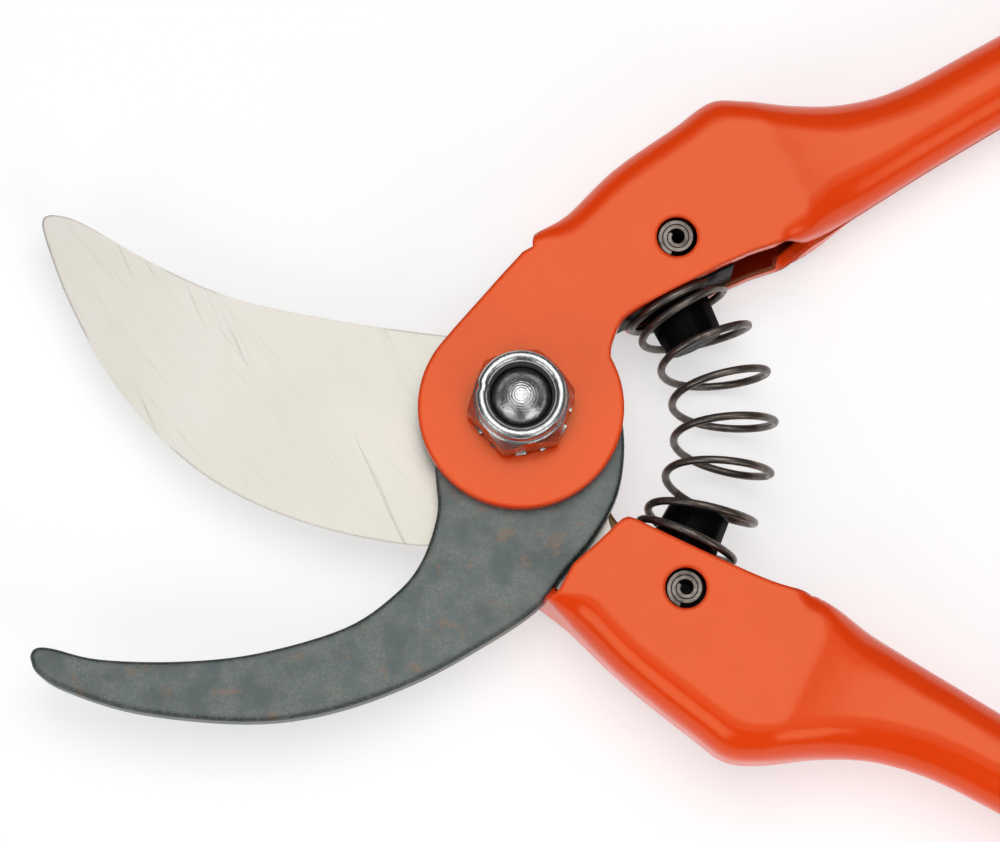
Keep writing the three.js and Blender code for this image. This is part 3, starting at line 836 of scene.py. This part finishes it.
def shellSection(spec, lines, x):
    # (y, z) points round the sheet, from the front cheek's edge to the back cheek's edge
    common = shellCommon
    start, end, mouth = spec["outer"][0][0], spec["outer"][-1][0], spec["mouthEnd"]
    endStart, endRadius = common["endRound"]
    level = ease(x, *common["levelling"])
    closing = math.sqrt(max(0.0, 1 - max(0.0, (x - end + endStart) / endRadius) ** 2))
    middle = (spec["top"] - tool["channelDepth"] / 2) * (1 - level)
    neck = clamp((x - mouth - common["crease"]) / common["neckLength"])
    slope = common["neckFall"] * (1 - (1 - neck) ** 2)
    halfDepth = (tool["channelDepth"] / 2 - slope * (1 - level) - common["endTaper"] * level) * closing
    innerY, outerY = [line(x) for line in lines]
    centre = (innerY + outerY) / 2
    half = (outerY - innerY) / 2 * closing
    outer, inner = centre + half, centre - half
    roll = easeAfter(x, mouth, common["roll"])
    curl = easeAfter(x, mouth, common["curl"])
    limit = min(half, halfDepth) * common["roundest"]
    bend = mix(common["startBend"], spec["bend"], easeAfter(x, start, common["bendGrowth"]))
    bend = min(limit, mix(bend, common["tube"], easeAfter(x, mouth, common["bendToTube"])))
    corner = min(limit, mix(common["cheekCorner"], common["tube"], roll))
    high, low = middle + halfDepth, middle - halfDepth
    gap = common["seamGap"] / 2
    drop = spec["backDrop"] * (1 - roll)
    front = cheekPath(outer - bend, inner, corner, high, middle + gap, curl)
    back = cheekPath(outer - bend, inner - drop, corner, low, middle - gap, curl)
    quarter, web = quarterTurn(bend, common["bendSteps"]), common["webSteps"]
    around = [(outer - bend + across, high - fall) for across, fall in quarter]
    around += [(outer, mix(high - bend, low + bend, k / web)) for k in range(1, web)]
    around += [(outer - bend + across, low + fall) for across, fall in reversed(quarter)]
    return front[::-1] + around + back


def chain(bm, start, points, end):
    verts = [start] + [bmesh.ops.create_vert(bm, co=point)["vert"][0] for point in points] + [end]
    return [bm.edges.new(pair) for pair in zip(verts, verts[1:])]


def frontEdge(spec, innerLine):
    # from the end of the front cheek round the disc to the shoulder
    disc = handleDisc
    neck, shoulder = spec["inner"][0][1], spec["outer"][0][1]
    throat = [(x, neck + y) for x, y in disc["throat"]]
    points = [(x, innerLine(x)) for x in disc["edge"]] + throat[:2]
    points += through(throat[1:] + [(disc["radius"], 1)], 6)
    points += arc(disc["radius"], *disc["sweep"], 90) + disc["step"][:3]
    points += through(disc["step"][2:] + [(x, shoulder + y) for x, y in disc["shoulder"]], 4)
    return [(x, y, spec["top"]) for x, y in points]


def backEdge(spec, innerLine):
    # the free edge of the back cheek, from the shoulder to the cheek's end
    shoulder = spec["outer"][0][1]

    def edgeY(x):
        return innerLine(x) - spec["backDrop"]

    points = [(x, mix(edgeY(backCheek["riseAt"]), shoulder, share)) for x, share in backCheek["rise"]]
    points += [(x, edgeY(at) + lift) for x, at, lift in backCheek["corner"]]
    points += [(x, edgeY(x)) for x in backCheek["edge"]]
    return [(x, y, spec["top"] - tool["channelDepth"]) for x, y in points]


def fillCheek(bm, edges, holes, up):
    for points in holes:
        edges = edges + ring(bm, points)[1]
    bmesh.ops.triangle_fill(bm, use_beauty=True, use_dissolve=False, edges=edges, normal=(0, 0, up))


def makeShell(spec, name, place, body, node):
    common = shellCommon
    start, end = spec["outer"][0][0], spec["outer"][-1][0]
    lines = lineThrough(spec["inner"]), lineThrough(spec["outer"])
    limits = (start, common["plateEnd"], common["tubeStart"], end - common["endLength"], end)
    stations = [mix(low, high, k / steps)
                for low, high, steps in zip(limits, limits[1:], common["stationSteps"])
                for k in range(steps)] + [end]
    sections = [shellSection(spec, lines, x) for x in stations]
    count = len(sections[0])
    bm = bmesh.new()
    made = bmesh.ops.create_grid(bm, x_segments=len(stations) - 1, y_segments=count - 1, size=1)["verts"]
    made = sorted(made, key=lambda vert: (round(vert.co.x, 5), round(vert.co.y, 5)))
    rows = [made[i * count:(i + 1) * count] for i in range(len(stations))]
    frontBand = common["cheekSteps"] - 2
    backBand = count - common["cheekSteps"] + 1
    for x, section, row in zip(stations, sections, rows):
        for j, ((y, z), vert) in enumerate(zip(section, row)):
            along = clamp((j - frontBand) / (backBand - frontBand))
            slant = common["slant"] * along * (1 - ease(x, start, start + common["slantLength"]))
            vert.co = (x + slant, y, z)

    # the flat cheeks beside the blades are filled outlines, joined to the bends
    plates = stations.index(common["plateEnd"])
    cheeks = {
        face for i in range(plates) for j in list(range(frontBand)) + list(range(backBand, count - 1))
        for face in rows[i][j].link_faces
        if {rows[i][j], rows[i + 1][j + 1]} <= set(face.verts)
    }
    bmesh.ops.delete(bm, geom=list(cheeks), context="FACES")
    front = [bm.edges.get((rows[i][frontBand], rows[i + 1][frontBand])) for i in range(plates)]
    front += [bm.edges.get((rows[plates][j], rows[plates][j + 1])) for j in range(frontBand)]
    front += chain(bm, rows[plates][0], frontEdge(spec, lines[0]), rows[0][frontBand])
    back = [bm.edges.get((rows[i][backBand], rows[i + 1][backBand])) for i in range(plates)]
    back += [bm.edges.get((rows[plates][j], rows[plates][j + 1])) for j in range(backBand, count - 1)]
    back += chain(bm, rows[0][backBand], backEdge(spec, lines[0]), rows[plates][-1])

    half = common["squareHalf"]
    square = [(half * x, half * y) for x, y in
              ((1, 0), (1, 1), (0, 1), (-1, 1), (-1, 0), (-1, -1), (0, -1), (1, -1))]
    boltHole = square if spec["squareHole"] else circle(0, 0, tool["boltHole"], common["holeSteps"])
    pinHole = circle(*spec["pin"], common["pinHole"], common["holeSteps"])
    top = spec["top"]
    fillCheek(bm, front, [atHeight(boltHole, top), atHeight(pinHole, top)], 1)
    fillCheek(bm, back, [atHeight(pinHole, top - tool["channelDepth"])], -1)

    bmesh.ops.recalc_face_normals(bm, faces=bm.faces)
    facing = sum(face.normal.z * face.calc_area() for face in bm.faces
                 if face.calc_center_median().z > top - 0.05)
    if facing < 0:
        bmesh.ops.reverse_faces(bm, faces=bm.faces)
    bmesh.ops.inset_region(bm, faces=bm.faces[:], thickness=common["rimBand"], depth=0,
                           use_boundary=True, use_even_offset=False)
    piece = finished(bm, name, place, enamel)
    piece.data.materials.append(enamelShadedInside)
    sheet = piece.modifiers.new("sheetThickness", "SOLIDIFY")
    sheet.thickness = tool["sheet"] * 0.001
    sheet.offset = -1
    # the inner faces get the darker enamel, painted shade inside the channel
    sheet.material_offset = 1
    sheet.use_even_offset = True
    sheet.use_quality_normals = True
    addBevel(piece, common["rim"], 3, 50)
    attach(piece, body)
    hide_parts(node)


makeShell(upperShell, "upperHandleShell", onUpper, "upper_lever", "upper_handle")
makeShell(lowerShell, "lowerHandleShell", onLowerTurned, "lower_lever", "lower_handle")
print("handles made")


coiledPin = {
    "radius": 2.6,
    "turns": 2.3,
    "thickness": 0.5,
    "pitch": 0.62,
    "steps": 44,
    "recess": 0.3,
    "band": 0.18,
    "edge": 0.16,
}


def makeCoiledPin(spec, name, place, body, node):
    x, y = spec["pin"]
    pin = coiledPin
    count = round(pin["turns"] * pin["steps"])
    direction, startAngle = spec["pinTurn"]
    outside, inside = [], []
    for k in range(count + 1):
        turn = k / pin["steps"]
        angle = direction * 2 * math.pi * turn + startAngle
        radius = pin["radius"] - pin["pitch"] * turn
        outside.append((x + radius * math.cos(angle), y + radius * math.sin(angle)))
        radius -= pin["thickness"]
        inside.append((x + radius * math.cos(angle), y + radius * math.sin(angle)))
    outline = outside + inside[::-1]
    high = spec["top"] - pin["recess"]
    low = spec["top"] - tool["channelDepth"] + pin["recess"]
    bm = bmesh.new()
    plateWith(bm, low, 0.0, high, 0.0, outline, [], pin["band"])
    piece = finished(bm, name, place, springSteel)
    addBevel(piece, pin["edge"], 2, 50)
    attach(piece, body)
    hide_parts(node)


upperSeat = {
    "shell": upperShell,
    "from": 16.5, "to": 34.8, "centre": 25.7,
    "face": 5.7, "bufferEnd": -1.15,
}
lowerSeat = {
    "shell": lowerShell,
    "from": 20.1, "to": 36.0, "centre": 27.5,
    "face": 7.6, "bufferEnd": 1.55,
}
seatBlock = {
    "clearance": 0.1,
    "bladeGap": 0.3,
    "plate": 0.8,  # thickness of the plate that the spring stands on
    "body": 1.5,  # past the channel's inner edge
    "stem": 4.5,  # past the pin
    "stemInset": (3, 1),
    "apart": 0.02,  # keeps the faces of the blocks out of one plane
    "endStep": 0.05,
}
buffer = {"sides": 12, "turn": 8, "baseRadius": 4.7, "tipRadius": 4.2, "sunk": 0.5, "edge": 0.35}


def makeSeat(seat, name, place, body, node):
    shell, block = seat["shell"], seatBlock
    apart, endStep = block["apart"], block["endStep"]
    inset, rise = block["stemInset"]
    back = shell["top"] - tool["channelDepth"] + tool["sheet"] + block["clearance"]
    front = shell["top"] - tool["sheet"] - block["clearance"]
    middle = shell["top"] - tool["channelDepth"] / 2
    bladeGap = tool["cutPlane"] - block["bladeGap"]
    left, right, face = seat["from"], seat["to"], seat["face"]
    bodyEnd = shell["inner"][1][1] + block["body"]
    stemEnd = shell["pin"][1] + block["stem"]
    bm = bmesh.new()
    roundedBlock(bm, (left, face, back), (right, face + block["plate"], front), 0.35)
    roundedBlock(bm, (left, face + apart, back + apart), (right - endStep, bodyEnd, bladeGap), 0.5)
    roundedBlock(bm, (left + inset, face + rise, back + 2 * apart),
                 (right - 2 * endStep, stemEnd, bladeGap - apart), 0.6)
    height = face + buffer["sunk"] - seat["bufferEnd"]
    stand = Matrix.Translation((seat["centre"], seat["bufferEnd"] + height / 2, middle))
    stand = stand @ Matrix.Rotation(math.radians(-90), 4, "X")
    stand = stand @ Matrix.Rotation(math.radians(buffer["turn"]), 4, "Z")
    verts = bmesh.ops.create_cone(
        bm, cap_ends=True, segments=buffer["sides"], radius1=buffer["tipRadius"],
        radius2=buffer["baseRadius"], depth=height, matrix=stand)["verts"]
    softenEdges(bm, verts, buffer["edge"], 3)
    bmesh.ops.recalc_face_normals(bm, faces=bm.faces)
    piece = finished(bm, name, place, blackPlastic, 35)
    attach(piece, body)
    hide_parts(node)


makeCoiledPin(upperShell, "upperCoiledPin", onUpper, "upper_lever", "upper_seat_pin")
makeCoiledPin(lowerShell, "lowerCoiledPin", onLowerTurned, "lower_lever", "lower_seat_pin")
makeSeat(upperSeat, "upperSeatBlock", onUpper, "upper_lever", "upper_spring_seat")
makeSeat(lowerSeat, "lowerSeatBlock", onLowerTurned, "lower_lever", "lower_spring_seat")
print("pins and seats made")


nut = {
    "base": 6.35,
    "height": 7.3,
    "flats": 12.8,
    "cornerAt": 11.5,  # degrees
    "foot": [(4.3, 0.5), (4.9, 0), (5.9, 0)],  # radius, above the base
    "footChamfer": (0.5, 6.3),  # slope, and the radius where it begins
    "hexHeight": 5.0,
    "topChamfer": (-2.3, 6.33),
    "waist": [(6.33, 0), (6.12, 0.1), (6.0, 0.3), (6.02, 0.45), (6.1, 0.62)],  # above the hexagon
    "collarRadius": 6.1,
    "lipRadius": 0.8,
    "lipSteps": 12,
    "bore": [(4.55, 1.0), (5.5, 1.1), (5.5, 2.3), (4.3, 2.35)],  # radius, below the top
    "crimp": 0.22,
    "crimpAt": 170,  # degrees
    "crimpSpread": (0.992, 0.9998),
    "crimpDepth": 1.2,
    "crimpInside": 4.6,
    "segments": 144,
}
nutTop = nut["base"] + nut["height"]
bolt = {
    "radius": 4.08,
    "headRadius": 8.0,
    "headTop": -5.25,
    "headLow": -8.65,
    "headFace": [(1.3, 0), (0.9, 0.07), (0.5, 0.3), (0.15, 0.75), (0, 1.3)],  # in and up from its edge
    "headBack": [(0, 0.5), (0.12, 0.15), (0.45, 0)],  # in and down from its edge
    "neckSide": 8.4,
    "neckSpan": (0.5, 2.0),
    "tipBelow": 0.3,
    "tipEdge": [(0, 2.0), (0.06, 1.7), (0.2, 1.5)],
    "tipInset": 0.35,
    "dome": 0.098,
    "grooveDepth": 0.009,
    "groovePitch": 0.36,
    "grooveFade": (1.7, 2.8),
    "tipRings": 50,
}
washer = {
    "inner": 4.3,
    "outer": 5.9,
    "chamfer": 0.1,
    "low": 5.75,
    "thickness": 0.5,
    "teeth": 12,
    "toothAt": 6.0,
    "toothSize": 1.5,
    "toothTwist": 17,
    "toothEdge": 0.08,
}
lockingRing = {
    "below": 0.95,
    "profile": [(4.15, 1.2), (5.3, 1.2), (5.3, 0.3), (5.15, 0.05), (4.8, 0), (4.42, 0.08),
                (4.2, 0.3), (4.15, 0.7), (4.15, 1.2)],  # radius, below its top
}


def makeBolt():
    low, top, head, radius = bolt["headLow"], bolt["headTop"], bolt["headRadius"], bolt["radius"]
    tip = nutTop - bolt["tipBelow"]
    profile = [(0, low)] + [(head - inset, low + rise) for inset, rise in bolt["headFace"]]
    profile += [(head - inset, top - drop) for inset, drop in bolt["headBack"]] + [(radius, top)]
    profile += [(radius - inset, tip - drop) for inset, drop in bolt["tipEdge"]]
    rings = bolt["tipRings"]
    for k in range(rings):
        reach = (radius - bolt["tipInset"]) * (1 - k / rings)
        wave = math.sin(2 * math.pi * reach / bolt["groovePitch"])
        groove = bolt["grooveDepth"] * wave * (1 - ease(reach, *bolt["grooveFade"]))
        profile.append((reach, tip - bolt["dome"] * reach ** 2 + groove))
    profile.append((0, tip))
    bm = bmesh.new()
    turned(bm, profile, 72)
    half = bolt["neckSide"] / 2
    sunk, length = bolt["neckSpan"]
    roundedBlock(bm, (-half, -half, top - sunk), (half, half, top + length), 0.3)
    piece = finished(bm, "pivotBoltBody", onLower, zinc, 32)
    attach(piece, "lower_lever")
    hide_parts("pivot_bolt")


def makeWasher():
    inner, outer, chamfer = washer["inner"], washer["outer"], washer["chamfer"]
    low, high = washer["low"], washer["low"] + washer["thickness"]
    size = washer["toothSize"]
    bm = bmesh.new()
    turned(bm, [(inner, low), (outer - chamfer, low), (outer, low + chamfer), (outer, high - chamfer),
                (outer - chamfer, high), (inner, high), (inner, low)])
    for k in range(washer["teeth"]):
        angle = 2 * math.pi * k / washer["teeth"]
        place = (Matrix.Rotation(angle, 4, "Z")
                 @ Matrix.Translation((washer["toothAt"], 0, (low + high) / 2))
                 @ Matrix.Rotation(math.radians(washer["toothTwist"]), 4, "X")
                 @ Matrix.Diagonal((size, size, washer["thickness"], 1)))
        verts = bmesh.ops.create_cube(bm, size=1, matrix=place)["verts"]
        softenEdges(bm, verts, washer["toothEdge"], 2)
    piece = finished(bm, "toothWasherRing", atPivot, zinc, 35)
    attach(piece, "lower_lever")
    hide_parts("pivot_tooth_washer")


def nutLevels():
    # each level gives (radius, z) at an angle
    base, hexTop = nut["base"], nut["base"] + nut["hexHeight"]
    collar, lip = nut["collarRadius"], nut["lipRadius"]
    inradius = nut["flats"] / 2

    def hexAt(angle):
        turn = (angle - math.radians(nut["cornerAt"])) % (math.pi / 3) - math.pi / 6
        return min(inradius / math.cos(turn), inradius / math.cos(math.pi / 6) - 0.05)

    def plain(radius, z):
        return lambda angle: (radius, z)

    def side(z, slope, start):
        return lambda angle: (hexAt(angle), z + slope * max(0.0, hexAt(angle) - start))

    levels = [plain(radius, base + rise) for radius, rise in nut["foot"]]
    levels += [side(base, *nut["footChamfer"]), side(hexTop, *nut["topChamfer"])]
    levels += [plain(radius, hexTop + rise) for radius, rise in nut["waist"]]
    for k in range(nut["lipSteps"] + 1):
        angle = math.pi * k / nut["lipSteps"]
        levels.append(plain(collar - lip + lip * math.cos(angle), nutTop - lip + lip * math.sin(angle)))
    levels += [plain(radius, nutTop - drop) for radius, drop in nut["bore"]]
    return levels + levels[:1]


def makeNut():
    outlines = []
    for level in nutLevels():
        points = []
        for k in range(nut["segments"]):
            angle = 2 * math.pi * k / nut["segments"] + math.radians(nut["cornerAt"])
            radius, z = level(angle)
            # the collar is crimped inwards a little on one side
            beside = math.cos(angle - math.radians(nut["crimpAt"]))
            if z > nutTop - nut["crimpDepth"] and radius > nut["crimpInside"]:
                radius -= nut["crimp"] * ease(beside, *nut["crimpSpread"])
            points.append((radius * math.cos(angle), radius * math.sin(angle), z))
        outlines.append(points)
    bm = bmesh.new()
    sleeve(bm, outlines)
    bmesh.ops.remove_doubles(bm, verts=bm.verts, dist=1e-4)
    bmesh.ops.recalc_face_normals(bm, faces=bm.faces)
    piece = finished(bm, "collarNutBody", atPivot, zinc, 24)
    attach(piece, "lower_lever")
    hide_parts("pivot_nut")


def makeLockingRing():
    top = nutTop - lockingRing["below"]
    bm = bmesh.new()
    turned(bm, [(radius, top - drop) for radius, drop in lockingRing["profile"]])
    piece = finished(bm, "lockingRingInsert", atPivot, nylon, 50)
    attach(piece, "lower_lever")
    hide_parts("nut_locking_ring")


makeBolt()
makeWasher()
makeNut()
makeLockingRing()
print("pivot made")


coil = {
    "wire": 0.54,
    "radius": 6.8,
    "turns": 7.65,
    "startTurn": 0.14,
    "closedTurns": 1.0,
    "closedPitch": 1.15,
    "bow": 0.4,
    "lean": 0.86,  # sideways shift of each turn's high and low points
    "leanFade": 4,
    "seatGap": 0.1,
    "stepsPerTurn": 40,
    "sides": 14,
}


def seatPoint(seat, side):
    lift = seat["face"] - coil["wire"] - coil["seatGap"]
    turn = Matrix.Rotation(side * halfOpen, 2)
    centre = turn @ Vector((seat["centre"], side * lift))
    inwards = turn @ Vector((0, -side))
    return centre, inwards, centre + inwards * coil["closedPitch"] * coil["closedTurns"]


def springCentre(turns, active, top, bottom):
    pitch = coil["closedPitch"] * min(turns, coil["turns"] - turns)
    if turns < coil["closedTurns"]:
        return top[0] + top[1] * pitch
    if turns > coil["turns"] - coil["closedTurns"]:
        return bottom[0] + bottom[1] * pitch
    angle = mix(math.atan2(top[2].y, top[2].x), math.atan2(bottom[2].y, bottom[2].x), active)
    reach = mix(top[2].length, bottom[2].length, active) + coil["bow"] * math.sin(math.pi * active)
    return Vector((reach * math.cos(angle), reach * math.sin(angle)))


def makeSpring():
    top, bottom = seatPoint(upperSeat, 1), seatPoint(lowerSeat, -1)
    topZ = upperShell["top"] - tool["channelDepth"] / 2
    bottomZ = tool["channelDepth"] / 2 - lowerShell["top"]
    steps = round(coil["turns"] * coil["stepsPerTurn"])
    span = coil["turns"] - 2 * coil["closedTurns"]
    path, follow = [], []
    for k in range(steps + 1):
        turns = coil["turns"] * k / steps
        active = clamp((turns - coil["closedTurns"]) / span)
        centre = springCentre(turns, active, top, bottom)
        tilt = halfOpen * (1 - 2 * active)
        phase = 2 * math.pi * (turns + coil["startTurn"])
        across = coil["radius"] * math.cos(phase)
        fade = min(1, coil["leanFade"] * active, coil["leanFade"] * (1 - active))
        lean = coil["lean"] * fade * math.sin(phase)
        path.append(Vector((
            centre.x + across * math.cos(tilt),
            centre.y + across * math.sin(tilt) + lean,
            mix(topZ, bottomZ, active) + coil["radius"] * math.sin(phase),
        )))
        follow.append(active)
    bm = bmesh.new()
    wire(bm, path, coil["wire"], coil["sides"])
    piece = finished(bm, "returnSpringCoil", atPivot, springSteel, 60)
    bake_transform(piece)
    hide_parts("return_spring")


makeSpring()
print("spring made")


catchBail = {
    "pivot": (143, 11.4),
    "angle": 160,
    "reach": 34.0,
    "wire": 1.25,
    "corner": 3.0,
    "legZ": 6.05,
    "foot": (3.4, 2.4, 1.6),  # points of the end that turns into the handle, in from the leg
    "barPoint": 1.4,
}


def makeCatch():
    spec = catchBail
    reach, corner, legZ, inner = spec["reach"], spec["corner"], spec["legZ"], spec["foot"][-1]
    half = [(0, legZ - inset) for inset in spec["foot"]]
    half += [(fall, legZ - inner + across) for across, fall in quarterTurn(inner, 6)]
    half += [(reach * k / 12, legZ) for k in range(1, 11)] + [(reach - corner, legZ)]
    half += [(reach - corner + across, legZ - fall) for across, fall in quarterTurn(corner, 8)]
    half += [(reach, spec["barPoint"]), (reach, 0)]
    whole = half + [(u, -z) for u, z in reversed(half[:-1])]
    path = [Vector((u, 0, z)) for u, z in whole]
    bm = bmesh.new()
    wire(bm, path, spec["wire"], 20)
    turn = Matrix.Translation((*spec["pivot"], 0)) @ Matrix.Rotation(math.radians(spec["angle"]), 4, "Z")
    piece = finished(bm, "closingCatchBail", onUpper @ turn, zinc, 60)
    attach(piece, "catch")
    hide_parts("closing_catch")


makeCatch()
print("catch made")


studio = {
    "tilt": 12.0,  # degrees from straight above
    "distance": 0.6,
    "lens": 161.1,
    "target": (-0.002815, -0.001576, 0.0037),  # from the pivot
    "worldLight": 0.12,
    "worldColour": (0.9, 0.95, 1.0, 1),
    "floorSize": 3,
    "floorGrey": (0.6, 0.6, 0.6),
    "floorGlow": 0.52,
}
softboxes = {
    "wideOverhead": {"place": (0, 0.1, 0.75), "size": 1.0, "power": 2.4},
    "brightOverhead": {"place": (0, 0.16, 0.74), "size": 0.5, "power": 1.5},
    "frontLeft": {"place": (-0.56, -0.5, 0.49), "size": 0.5, "power": 1.57},
    "frontRight": {"place": (0.43, -0.62, 0.49), "size": 0.5, "power": 1.57},
}


def makeFloor():
    bm = bmesh.new()
    bmesh.ops.create_grid(bm, x_segments=1, y_segments=1, size=studio["floorSize"])
    floorMaterial, _, shader, _ = newMaterial(
        "paleFloor", studio["floorGrey"], roughness=0.8, metallic=0.0)
    shader.inputs["Emission Color"].default_value = (1, 1, 1, 1)
    shader.inputs["Emission Strength"].default_value = studio["floorGlow"]
    floor = finished(bm, "floor", Matrix.Identity(4), floorMaterial)


def addSoftbox(name, box):
    data = bpy.data.lights.new(name, "AREA")
    data.shape = "SQUARE"
    data.size = box["size"]
    data.energy = box["power"]
    light = bpy.data.objects.new(name, data)
    bpy.context.collection.objects.link(light)
    light.location = box["place"]
    light.rotation_euler = (pivot - light.location).to_track_quat("-Z", "Y").to_euler()


def makeStudio():
    scene = bpy.context.scene
    world = bpy.data.worlds.new("studioWorld")
    world.use_nodes = True
    background = world.node_tree.nodes["Background"]
    background.inputs["Color"].default_value = studio["worldColour"]
    background.inputs["Strength"].default_value = studio["worldLight"]
    scene.world = world
    scene.view_settings.view_transform = "Standard"
    for name, box in softboxes.items():
        addSoftbox(name, box)
    target = pivot + Vector(studio["target"])
    tilt = math.radians(studio["tilt"])
    camera = bpy.data.objects.new("camera", bpy.data.cameras.new("camera"))
    bpy.context.collection.objects.link(camera)
    camera.data.lens = studio["lens"]
    camera.data.sensor_width = 36
    camera.data.clip_start = 0.01
    camera.location = target + Vector((0, -math.sin(tilt), math.cos(tilt))) * studio["distance"]
    camera.rotation_euler = (tilt, 0, 0)
    scene.camera = camera


makeFloor()
makeStudio()
print("studio made")
